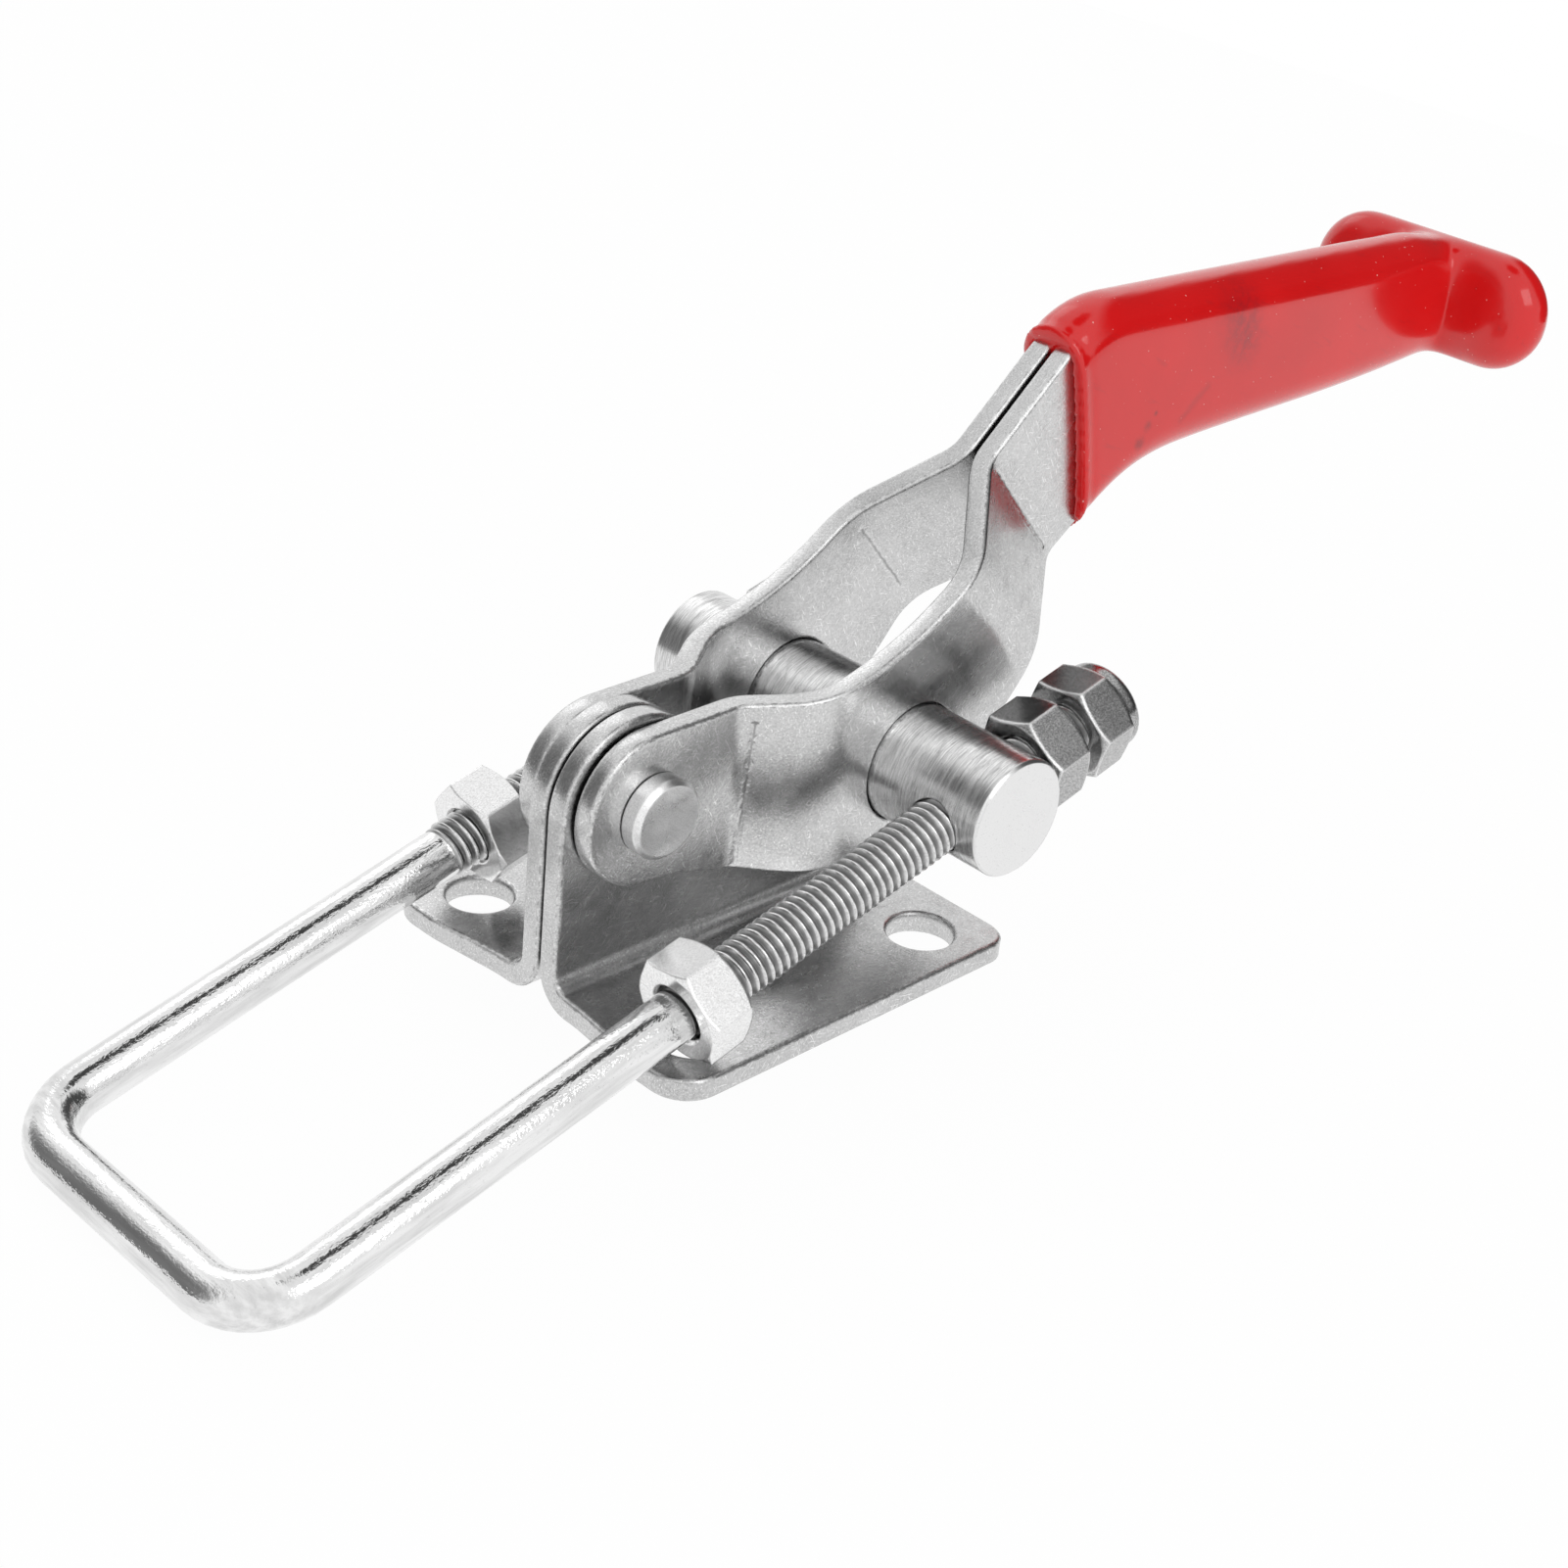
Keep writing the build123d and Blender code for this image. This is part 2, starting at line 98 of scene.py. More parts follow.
# Wire of the U-bolt, measured forwards from the barrel's axis;
# the legs' axes lie leg_inset inside the box of the CAD U-bolt
wire_radius = 2.62 * mm
bar_distance = 89.8 * mm
corner_radius = 6.7 * mm
thread_front = 41.0 * mm
thread_rear = -19.3 * mm
thread_length = thread_front - thread_rear
pitch = 1.0 * mm
crest_radius = 2.93 * mm
root_radius = 2.36 * mm
flank_steepness = 1.45
thread_runout = 1.6 * mm
leg_inset = 2.95 * mm
end_chamfer = 0.5 * mm

# The drawing marks turn from the legs' direction to the bar's between these distances from it
marks_on_legs = 7 * mm
marks_on_bar = 3 * mm

# Steps of the wire's mesh: round it, along one pitch, one straight stretch and one corner
wire_around = 48
steps_per_pitch = 8
straight_steps = 12
corner_steps = 10

# Rims are seen rounded over these radii; they get a painted highlight where the rounded normal
# leaves the face's own, by the product of the two where the rim mask begins and where it is full
sheet_rim = 0.5 * mm
barrel_rim = 0.25 * mm
nut_rim = 0.34 * mm
rear_nut_rim = 0.55 * mm
rim_samples = 6
rim_mask_begins = 0.995
rim_mask_is_full = 0.90

# Flat faces of the sheet parts are made whole before their normals are weighted
weld_distance = 0.002 * mm
flat_limit = 0.6
face_weight = 60

# Scratches on the sheet parts run three ways: direction of each, and shift of its noise
scratch_sets = ((12, 0.011), (63, 0.027), (128, 0.041))

# Creases that bending has left on the plates, bumped in, with a painted highlight along them and
# painted shade in their core: both ends and the width, in millimetres
front_crease = ((-0.8, -6.0, 27.0), (-1.7, -5.6, 11.6), 0.55)
shoulder_crease = ((34.6, -2.9, 44.4), (44.0, -2.8, 34.0), 0.6)
inner_crease = ((26.4, 7.3, 36.1), (33.5, 7.3, 28.1), 0.6)
crease_ragged = 0.5
ragged_scale = 1100

# Grip: remeshed, then softened by steps that each take back most of their shrinking
grip_voxel = 0.42 * mm
soften_rounds = 8
soften_step = 0.5
soften_return = 0.9

# Webs between the grip's body and its arms, within their reach of its outer end
web_reach = 20 * mm
web_fade = 8 * mm
web_rounds = 320
web_pull = 1.4
web_soften_rounds = 10

# The arms bulge forwards. Measured out from the grip's middle plane, the bulge starts at
# arm_root and is full arm_fade further out. It is centred halfway from arm_inner to the
# arm's end, and beyond arm_free there is nothing but arm.
arm_swell = 1.3 * mm
arm_root = 4 * mm
arm_fade = 3 * mm
arm_inner = 5 * mm
arm_free = 7 * mm

# Lip round the mouth, and the groove behind it, placed and sized in widths of the lip
lip_height = 0.30 * mm
lip_width = 1.0 * mm
groove_depth = 0.07 * mm
groove_place = 1.5
groove_reach = 0.6

# The mouth is a shallow arc, through these spots in X and Z, in millimetres
mouth = ((42.9, 59.45), (46.5, 47.05), (49.4, 31.45))

# Marks on the grip's near side, in millimetres: smudges and specks of dirt with their
# radius, and a graze with both ends and its width
grip_smudges = (((71.5, -4.1, 55.5), 5.5), ((73.0, -4.1, 52.0), 5.0))
grip_dirt = (((57.6, -4.1, 45.0), 0.98), ((56.6, -4.1, 43.3), 1.26), ((58.7, -4.1, 46.3), 0.49))
grip_graze = ((63.4, -4.1, 44.6), (67.4, -4.1, 47.6), 0.9)
graze_ragged = 0.8

# Colours of the grip and of its marks
deep_red = (0.64, 0.005, 0.006)
fresh_red = (0.71, 0.007, 0.008)
smudge_tint = (0.30, 0.010, 0.016)
dirt_tint = (0.12, 0.010, 0.014)
graze_tint = (0.36, 0.010, 0.014)
streak_tint = (0.40, 0.010, 0.014)
dust_tint = (0.85, 0.45, 0.42)

# Colours of the lock nuts' insert
dull_milk = (0.70, 0.71, 0.68)
clear_milk = (0.82, 0.82, 0.79)


def new_material(name):
    """A fresh node material; gives the material, its tree and its surface shader."""
    material = bpy.data.materials.new(name)
    material.use_nodes = True
    tree = material.node_tree
    return material, tree, tree.nodes["Principled BSDF"]


def object_place(tree, scale=(1, 1, 1)):
    """Object coordinates in metres; noise is drawn out along an axis with a small scale."""
    coordinates = tree.nodes.new("ShaderNodeTexCoord")
    mapping = tree.nodes.new("ShaderNodeMapping")
    mapping.inputs["Scale"].default_value = scale
    tree.links.new(coordinates.outputs["Object"], mapping.inputs["Vector"])
    return mapping.outputs["Vector"]


def streak_place(tree, stretch, turn, shift=(0, 0, 0)):
    """Object coordinates that draw noise out along one direction in the XZ plane."""
    coordinates = tree.nodes.new("ShaderNodeTexCoord")
    mapping = tree.nodes.new("ShaderNodeMapping")
    mapping.vector_type = "TEXTURE"
    mapping.inputs["Location"].default_value = shift
    mapping.inputs["Rotation"].default_value = (0, math.radians(turn), 0)
    mapping.inputs["Scale"].default_value = (stretch, 1, 1)
    tree.links.new(coordinates.outputs["Object"], mapping.inputs["Vector"])
    return mapping.outputs["Vector"]


def noise(tree, place, scale, detail=2.0, roughness=0.5):
    """Cloud noise, 0 to 1."""
    node = tree.nodes.new("ShaderNodeTexNoise")
    node.inputs["Scale"].default_value = scale
    node.inputs["Detail"].default_value = detail
    node.inputs["Roughness"].default_value = roughness
    tree.links.new(place, node.inputs["Vector"])
    return node.outputs["Fac"]


def remap(tree, value, low, high, to_low=0.0, to_high=1.0, smooth=False):
    """Spreads the stretch from low to high over the new range, and clamps it."""
    node = tree.nodes.new("ShaderNodeMapRange")
    node.interpolation_type = "SMOOTHSTEP" if smooth else "LINEAR"
    node.inputs["From Min"].default_value = low
    node.inputs["From Max"].default_value = high
    node.inputs["To Min"].default_value = to_low
    node.inputs["To Max"].default_value = to_high
    tree.links.new(value, node.inputs["Value"])
    return node.outputs["Result"]


def math_node(tree, kind, a, b=None):
    """One arithmetic step; a and b are outputs or plain numbers."""
    node = tree.nodes.new("ShaderNodeMath")
    node.operation = kind
    for socket, value in zip(node.inputs, (a, b)):
        if value is None:
            continue
        if isinstance(value, (int, float)):
            socket.default_value = value
        else:
            tree.links.new(value, socket)
    return node.outputs["Value"]


def plus(tree, a, b):
    """The sum of two values."""
    return math_node(tree, "ADD", a, b)


def minus(tree, a, b):
    """The first value less the second."""
    return math_node(tree, "SUBTRACT", a, b)


def times(tree, a, b):
    """The product of two values."""
    return math_node(tree, "MULTIPLY", a, b)


def vector_math(tree, kind, a, b=(0, 0, 0)):
    """One step of vector arithmetic; a and b are outputs or plain vectors."""
    node = tree.nodes.new("ShaderNodeVectorMath")
    node.operation = kind
    for socket, value in zip(node.inputs, (a, b)):
        if isinstance(value, (tuple, Vector)):
            socket.default_value = value
        else:
            tree.links.new(value, socket)
    return node.outputs["Value" if kind in ("DOT_PRODUCT", "LENGTH", "DISTANCE") else "Vector"]


def mix_value(tree, fac, a, b):
    """Blends two values; sockets 2 and 3 of the node are its plain values."""
    node = tree.nodes.new("ShaderNodeMix")
    tree.links.new(fac, node.inputs["Factor"])
    tree.links.new(a, node.inputs[2])
    tree.links.new(b, node.inputs[3])
    return node.outputs[0]


def mix_colour(tree, fac, a, b):
    """Blends two colours, given as outputs or as red, green and blue, by sockets 6 and 7."""
    node = tree.nodes.new("ShaderNodeMix")
    node.data_type = "RGBA"
    tree.links.new(fac, node.inputs["Factor"])
    for socket, value in ((node.inputs[6], a), (node.inputs[7], b)):
        if isinstance(value, tuple):
            socket.default_value = (*value, 1)
        else:
            tree.links.new(value, socket)
    return node.outputs[2]


def stain(tree, colour, mask, strength, tint):
    """Lays a tint over a colour, as much as the mask times the strength."""
    return mix_colour(tree, times(tree, mask, strength), colour, tint)


def grey(level):
    """A neutral colour."""
    return (level, level, level)


def bump(tree, shader, height, strength, distance, rounding=None):
    """Bumps the surface by a height from 0 to 1, on top of rounded rims where there are any."""
    node = tree.nodes.new("ShaderNodeBump")
    node.inputs["Strength"].default_value = strength
    node.inputs["Distance"].default_value = distance
    tree.links.new(height, node.inputs["Height"])
    if rounding is not None:
        tree.links.new(rounding, node.inputs["Normal"])
    tree.links.new(node.outputs["Normal"], shader.inputs["Normal"])


def bare_metal(tree, shader, colour, roughness):
    """Makes the shader metal with this colour and roughness."""
    tree.links.new(colour, shader.inputs["Base Color"])
    tree.links.new(roughness, shader.inputs["Roughness"])
    shader.inputs["Metallic"].default_value = 1.0


def near_segment(tree, start, end, width, ragged):
    """1 on the line between two spots, falling to 0 at the width; all sizes in millimetres."""
    a = Vector(start) * mm
    b = Vector(end) * mm
    length = (b - a).length
    along = (b - a) / length
    place = object_place(tree)
    wobble = tree.nodes.new("ShaderNodeTexNoise")
    wobble.inputs["Scale"].default_value = ragged_scale
    tree.links.new(place, wobble.inputs["Vector"])
    shift = vector_math(tree, "SUBTRACT", wobble.outputs["Color"], (0.5, 0.5, 0.5))
    shift = vector_math(tree, "MULTIPLY", shift, (ragged * mm, ragged * mm, ragged * mm))
    place = vector_math(tree, "ADD", place, shift)
    from_start = vector_math(tree, "SUBTRACT", place, a)
    reach = vector_math(tree, "DOT_PRODUCT", from_start, along)
    clamped = remap(tree, reach, 0, length, 0, length)
    spot = tree.nodes.new("ShaderNodeVectorMath")
    spot.operation = "SCALE"
    spot.inputs[0].default_value = along
    tree.links.new(clamped, spot.inputs["Scale"])
    distance = vector_math(tree, "DISTANCE", from_start, spot.outputs["Vector"])
    return remap(tree, distance, width * mm, 0, smooth=True)


def near_spot(tree, spot, radius):
    """1 at a spot, falling to 0 at the radius; both in millimetres."""
    distance = vector_math(tree, "DISTANCE", object_place(tree), Vector(spot) * mm)
    return remap(tree, distance, radius * mm, 0, smooth=True)


def rounded_normal(tree, radius):
    """A normal that rolls over sharp edges, and a mask that is 1 along those edges."""
    node = tree.nodes.new("ShaderNodeBevel")
    node.samples = rim_samples
    node.inputs["Radius"].default_value = radius
    geometry = tree.nodes.new("ShaderNodeNewGeometry")
    true_normal = geometry.outputs["True Normal"]
    same = vector_math(tree, "DOT_PRODUCT", node.outputs["Normal"], true_normal)
    return node.outputs["Normal"], remap(tree, same, rim_mask_begins, rim_mask_is_full)


def tumbled_steel(name, level, creases=()):
    """Barrel-tumbled sheet: clouded grey with fine pits and short scratches, a painted highlight on
    the rims with darker broken patches, and creases with painted highlight and shade.
    """
    material, tree, shader = new_material(name)
    place = object_place(tree)
    cloud = noise(tree, place, scale=170, detail=4, roughness=0.6)
    blotches = streak_place(tree, stretch=2.5, turn=-35)
    blotch = noise(tree, blotches, scale=700, detail=4, roughness=0.65)
    grain = noise(tree, place, scale=4200, detail=3, roughness=0.65)
    pits = remap(tree, noise(tree, place, scale=6500, roughness=0.6), 0.64, 0.74)
    scratches = 0.0
    for turn, shift in scratch_sets:
        lines = streak_place(tree, stretch=11, turn=turn, shift=(shift, shift, 0))
        lines = remap(tree, noise(tree, lines, scale=7600, detail=1), 0.665, 0.73)
        scratches = math_node(tree, "MAXIMUM", scratches, lines)
    rounding, rim_mask = rounded_normal(tree, sheet_rim)
    broken = remap(tree, noise(tree, place, scale=1500, detail=4, roughness=0.7), 0.42, 0.60)

    dull, clean, shade = grey(level * 0.86), grey(level * 1.08), grey(level * 0.62)
    glint, rim_highlight = grey(min(1, level * 1.36)), grey(min(0.95, level * 1.7))
    pit_and_crease_shade, rim_dark = grey(level * 0.35), grey(level * 0.32)
    colour = mix_colour(tree, remap(tree, cloud, 0.34, 0.66), dull, clean)
    colour = mix_colour(tree, remap(tree, blotch, 0.54, 0.74, 0, 0.10), colour, shade)
    colour = mix_colour(tree, remap(tree, grain, 0.36, 0.64, 0, 0.7), colour, glint)
    colour = stain(tree, colour, pits, 0.40, pit_and_crease_shade)
    colour = stain(tree, colour, scratches, 0.75, grey(0.95))
    # Painted highlight along the rims
    colour = stain(tree, colour, rim_mask, 0.55, rim_highlight)
    # Darker in broken patches along the rims
    colour = stain(tree, colour, times(tree, rim_mask, broken), 0.75, rim_dark)

    height = plus(tree, grain, times(tree, pits, -0.3))
    height = plus(tree, height, times(tree, blotch, 0.4))
    for start, end, width in creases:
        line = near_segment(tree, start, end, width, crease_ragged)
        crease_shade = near_segment(tree, start, end, width * 0.45, crease_ragged)
        # Painted highlight along the crease, then painted shade in its core
        colour = stain(tree, colour, line, 0.30, grey(0.9))
        colour = stain(tree, colour, crease_shade, 0.70, pit_and_crease_shade)
        height = plus(tree, height, times(tree, line, -5.0))

    bare_metal(tree, shader, colour, remap(tree, blotch, 0.3, 0.7, 0.17, 0.30))
    bump(tree, shader, height, 0.7, 0.022 * mm, rounding)
    return material


def turned_steel(name, level):
    """Bar stock with fine lines round the Y axis, and soft dark streaks along those lines."""
    material, tree, shader = new_material(name)

    def round_axis(squeeze, **look):
        """Noise drawn out round the Y axis."""
        return noise(tree, object_place(tree, (squeeze, 1, squeeze)), **look)

    lines = round_axis(0.05, scale=6500, detail=3, roughness=0.7)
    patches = round_axis(0.35, scale=900)
    streak = remap(tree, round_axis(0.16, scale=2300, detail=4, roughness=0.7), 0.50, 0.68)
    pits = remap(tree, round_axis(1, scale=5200), 0.64, 0.72)
    rounding, rim_mask = rounded_normal(tree, barrel_rim)

    # The end faces have no lines: there the lines' noise is replaced by one level
    end_level = 0.6
    geometry = tree.nodes.new("ShaderNodeNewGeometry")
    along = vector_math(tree, "DOT_PRODUCT", geometry.outputs["True Normal"], (0, 1, 0))
    turned = remap(tree, math_node(tree, "ABSOLUTE", along), 0.8, 0.5)
    lines = plus(tree, times(tree, minus(tree, lines, end_level), turned), end_level)

    dull, clean = grey(level * 0.72), grey(level * 1.14)
    colour = mix_colour(tree, remap(tree, lines, 0.36, 0.64), dull, clean)
    colour = stain(tree, colour, times(tree, streak, turned), 0.65, grey(level * 0.38))
    colour = stain(tree, colour, pits, 0.5, grey(level * 0.4))
    # Painted highlight along the rims
    colour = stain(tree, colour, rim_mask, 0.5, grey(0.92))
    bare_metal(tree, shader, colour, remap(tree, patches, 0.3, 0.7, 0.17, 0.30))
    bump(tree, shader, lines, 0.5, 0.014 * mm, rounding)
    return material


def bright_steel(name, level, rough, brushing=1.0, speckle=(0.84, 1.06), rim=nut_rim):
    """Plated steel with grain, brushed marks and painted highlights on its corners."""
    material, tree, shader = new_material(name)
    place = object_place(tree)
    grain = noise(tree, place, scale=6500, roughness=0.6)
    cloud = noise(tree, place, scale=420, detail=3)
    brushed = noise(tree, streak_place(tree, stretch=7, turn=38), scale=4200, roughness=0.6)
    rounding, rim_mask = rounded_normal(tree, rim)
    dull, light = (grey(level * part) for part in speckle)
    colour = mix_colour(tree, remap(tree, grain, 0.35, 0.65), dull, light)
    marks = remap(tree, brushed, 0.50, 0.70, 0, 0.5 * brushing)
    colour = mix_colour(tree, marks, colour, grey(level * 0.5))
    # Painted highlight along the rims
    colour = stain(tree, colour, rim_mask, 0.85, grey(0.95))
    bare_metal(tree, shader, colour, remap(tree, cloud, 0.3, 0.7, rough * 0.75, rough * 1.35))
    bump(tree, shader, plus(tree, grain, brushed), 0.30, 0.008 * mm, rounding)
    return material


def drawn_wire(name):
    """Polished drawn wire; the drawing left long shallow ripples with rough edges."""
    material, tree, shader = new_material(name)
    parts = tree.nodes.new("ShaderNodeSeparateXYZ")
    tree.links.new(object_place(tree), parts.inputs["Vector"])
    bar_x = barrel_x - math.cos(bolt_angle) * bar_distance
    on_bar = remap(tree, parts.outputs["X"], bar_x + marks_on_legs, bar_x + marks_on_bar)

    def drawn_noise(stretch, **look):
        """Noise that runs along the legs, and along the bar where the bar is."""
        legs = noise(tree, streak_place(tree, stretch, -bolt_tilt), roughness=0.6, **look)
        bar = noise(tree, object_place(tree, (1, 1 / stretch, 1)), roughness=0.6, **look)
        return mix_value(tree, on_bar, legs, bar)

    ripple = drawn_noise(9, scale=1000, detail=3)
    chatter = drawn_noise(1.7, scale=3300, detail=2)
    colour = mix_colour(tree, remap(tree, ripple, 0.35, 0.65), grey(0.66), grey(0.86))
    nicks = remap(tree, chatter, 0.62, 0.72, 0, 0.15)
    colour = mix_colour(tree, nicks, colour, grey(0.34))
    bare_metal(tree, shader, colour, remap(tree, chatter, 0.3, 0.7, 0.06, 0.11))
    bump(tree, shader, plus(tree, times(tree, ripple, 1.3), chatter), 0.8, 0.045 * mm)
    return material


def leg_axes():
    """The middle between the U-bolt's legs along Y, and how far each leg's axis is from it."""
    box_low, box_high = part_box("u_bolt")
    return (box_low.y + box_high.y) / 2, (box_high.y - box_low.y) / 2 - leg_inset


def rolled_thread(name):
    """Thread on the same wire: bright crests over dull roots darkened with painted shade, and
    patches of darker grain.
    """
    material, tree, shader = new_material(name)
    middle_y, half = leg_axes()
    parts = tree.nodes.new("ShaderNodeSeparateXYZ")
    tree.links.new(object_place(tree), parts.inputs["Vector"])
    sideways = math_node(tree, "ABSOLUTE", minus(tree, parts.outputs["Y"], middle_y))
    place = tree.nodes.new("ShaderNodeCombineXYZ")
    tree.links.new(minus(tree, parts.outputs["X"], barrel_x), place.inputs["X"])
    tree.links.new(minus(tree, sideways, half), place.inputs["Y"])
    tree.links.new(minus(tree, parts.outputs["Z"], barrel_z), place.inputs["Z"])
    off_axis = vector_math(tree, "CROSS_PRODUCT", place.outputs["Vector"], leg_direction)
    radius = vector_math(tree, "LENGTH", off_axis)
    crest = remap(tree, radius, root_radius, crest_radius)
    grain = noise(tree, object_place(tree), scale=3000, detail=3, roughness=0.6)
    # Painted shade in the thread's roots: dark at the root, full bright at the crest
    colour = mix_colour(tree, crest, grey(0.13), grey(0.84))
    colour = mix_colour(tree, remap(tree, grain, 0.45, 0.68, 0, 0.4), colour, grey(0.30))
    bare_metal(tree, shader, colour, remap(tree, crest, 0, 1, 0.42, 0.20))
    bump(tree, shader, grain, 0.3, 0.015 * mm)
    return material


def dipped_vinyl(name):
    """Glossy red dip coating with handling marks, a soft orange peel and pale dust specks."""
    material, tree, shader = new_material(name)
    place = object_place(tree)
    cloud = noise(tree, place, scale=90)
    peel = noise(tree, place, scale=420, detail=1)
    rubbed = streak_place(tree, stretch=6, turn=25)
    streaks = remap(tree, noise(tree, rubbed, 900, 3, 0.6), 0.62, 0.75, 0, 0.30)
    specks = remap(tree, noise(tree, place, scale=2400, detail=1), 0.765, 0.80)
    patchy = remap(tree, noise(tree, place, 900, 4, 0.7), 0.35, 0.65, 0.25, 1.0)
    graze = near_segment(tree, *grip_graze, graze_ragged)

    colour = mix_colour(tree, remap(tree, cloud, 0.3, 0.7), deep_red, fresh_red)
    for marks, strength, tint in ((grip_smudges, 0.70, smudge_tint), (grip_dirt, 0.65, dirt_tint)):
        for spot, radius in marks:
            mark = times(tree, near_spot(tree, spot, radius), patchy)
            colour = stain(tree, colour, mark, strength, tint)
    colour = stain(tree, colour, graze, 0.35, graze_tint)
    colour = mix_colour(tree, streaks, colour, streak_tint)
    colour = stain(tree, colour, specks, 0.8, dust_tint)

    tree.links.new(colour, shader.inputs["Base Color"])
    tree.links.new(remap(tree, cloud, 0.3, 0.7, 0.13, 0.20), shader.inputs["Roughness"])
    shader.inputs["IOR"].default_value = 1.50
    shader.inputs["Coat Weight"].default_value = 0.25
    shader.inputs["Coat Roughness"].default_value = 0.04
    bump(tree, shader, plus(tree, peel, times(tree, graze, -0.8)), 0.15, 0.06 * mm)
    return material


def nylon(name):
    """Milky insert of the lock nuts."""
    material, tree, shader = new_material(name)
    place = object_place(tree)
    colour = mix_colour(tree, noise(tree, place, scale=800), dull_milk, clear_milk)
    tree.links.new(colour, shader.inputs["Base Color"])
    shader.inputs["Roughness"].default_value = 0.45
    bump(tree, shader, noise(tree, place, scale=2500), 0.2, 0.02 * mm)
    return material


def smooth_shading(node):
    """Lets a chamfered node's flat faces run softly into its rims; its own mesh is left alone."""
    joined = node.modifiers.new("join", "WELD")
    joined.merge_threshold = weld_distance
    flat = node.modifiers.new("flat", "DECIMATE")
    flat.decimate_type = "DISSOLVE"
    flat.angle_limit = math.radians(flat_limit)
    shade = node.modifiers.new("shade", "WEIGHTED_NORMAL")
    shade.keep_sharp = False
    shade.weight = face_weight


def smooth_faces(mesh):
    """Shades all of a mesh's faces smooth."""
    mesh.polygons.foreach_set("use_smooth", [True] * len(mesh.polygons))


def mesh_piece(name, points, faces, material):
    """A new smooth mesh object."""
    mesh = bpy.data.meshes.new(name)
    mesh.from_pydata([tuple(p) for p in points], [], faces)
    mesh.materials.append(material)
    smooth_faces(mesh)
    piece = bpy.data.objects.new(name, mesh)
    bpy.context.collection.objects.link(piece)
    return piece


def thread_profile(phase):
    """Height of a rounded thread from root, 0, to crest, 1, over one pitch."""
    distance = abs((phase % 1.0) - 0.5) * 2
    return min(1.0, max(0.0, 0.5 + flank_steepness * (distance - 0.5)))


def leg_surface_radius(from_end, angle, travel):
    """Radius of a threaded leg at a distance from its rear end.

    The travel is that distance too, but negative on the far leg, where the wire runs back.
    """
    fade = min(1.0, max(0.0, (thread_length - from_end) / thread_runout))
    height = thread_profile((travel - pitch * angle / (2 * math.pi)) / pitch)
    root = root_radius + (wire_radius - root_radius) * (1 - fade) ** 2
    radius = root + (crest_radius - root_radius) * height * fade
    return min(radius, crest_radius - end_chamfer * max(0.0, 1 - from_end / end_chamfer))


def wire_route():
    """Rows of the wire from the end of one leg to the end of the other.

    A row is ("thread", side, distance from the leg's rear end) or ("plain", centre, direction).
    The second result gives spots on a leg's axis. The near leg is side -1, the far leg 1.
    """
    middle_y, half = leg_axes()
    across = Vector((0, 1, 0))
    rear = Vector((barrel_x, middle_y, barrel_z)) + leg_direction * thread_rear
    corner_start = bar_distance - corner_radius - thread_rear
    count = int(thread_length / pitch * steps_per_pitch)
    step = pitch / steps_per_pitch
    rows = [("thread", -1, i * step) for i in range(-steps_per_pitch, count + 1)]

    def leg_point(reach, side):
        """The spot on a leg's axis at a distance from its rear end."""
        return rear + leg_direction * reach + across * side * half

    def straight(start, end):
        """Even steps from start to end, without the start."""
        direction = (end - start).normalized()
        for i in range(1, straight_steps + 1):
            rows.append(("plain", start.lerp(end, i / straight_steps), direction))

    def corner(centre, incoming, outgoing):
        """A quarter turn from one direction into the next, without its start."""
        for i in range(1, corner_steps + 1):
            a = math.pi / 2 * i / corner_steps
            spot = (incoming * math.sin(a) - outgoing * math.cos(a)) * corner_radius
            rows.append(("plain", centre + spot, incoming * math.cos(a) + outgoing * math.sin(a)))

    straight(leg_point(thread_length, -1), leg_point(corner_start, -1))
    corner(leg_point(corner_start, -1) + across * corner_radius, leg_direction, across)
    bar_start = leg_point(corner_start + corner_radius, -1) + across * corner_radius
    straight(bar_start, bar_start + across * 2 * (half - corner_radius))
    corner(leg_point(corner_start, 1) - across * corner_radius, across, -leg_direction)
    straight(leg_point(corner_start, 1), leg_point(thread_length, 1))
    for i in range(count + steps_per_pitch + 1):
        rows.append(("thread", 1, thread_length - i * step))
    return rows, leg_point


def wire_ring(row, leg_point):
    """Points round one row of the wire; on the thread the ring is one turn of the helix."""
    up = leg_direction.cross(Vector((0, 1, 0)))
    kind, first, second = row
    points = []
    for j in range(wire_around):
        angle = 2 * math.pi * j / wire_around
        if kind == "thread":
            side = first
            reach = min(thread_length, max(0.0, second - side * pitch * j / wire_around))
            centre, direction = leg_point(reach, side), leg_direction * -side
            radius = leg_surface_radius(reach, angle, -side * reach)
        else:
            centre, direction, radius = first, second, wire_radius
        outwards = up * math.cos(angle) + direction.cross(up) * math.sin(angle)
        points.append(centre + outwards * radius)
    return points


def hook_wire(material, thread_material):
    """The U-bolt as one drawn wire with a rolled thread on both legs."""
    rows, leg_point = wire_route()
    points = []
    for row in rows:
        points.extend(wire_ring(row, leg_point))
    faces = []
    for i in range(len(rows) - 1):
        here, there = i * wire_around, (i + 1) * wire_around
        for j in range(wire_around):
            k = (j + 1) % wire_around
            faces.append((here + j, here + k, there + k, there + j))
    last = (len(rows) - 1) * wire_around
    faces.append(tuple(range(wire_around))[::-1])
    faces.append(tuple(last + j for j in range(wire_around)))
    piece = mesh_piece("hook_wire", points, faces, material)
    piece.data.materials.append(thread_material)
    for i in range(len(rows) - 1):
        if rows[i][0] == "thread" and rows[i + 1][0] == "thread":
            for j in range(wire_around):
                piece.data.polygons[i * wire_around + j].material_index = 1
    return piece


def neighbours_mean(points, edges, degree):
    """Mean place of each point's neighbours."""
    total = np.zeros_like(points)
    np.add.at(total, edges[:, 0], points[edges[:, 1]])
    np.add.at(total, edges[:, 1], points[edges[:, 0]])
    return total / degree[:, None]


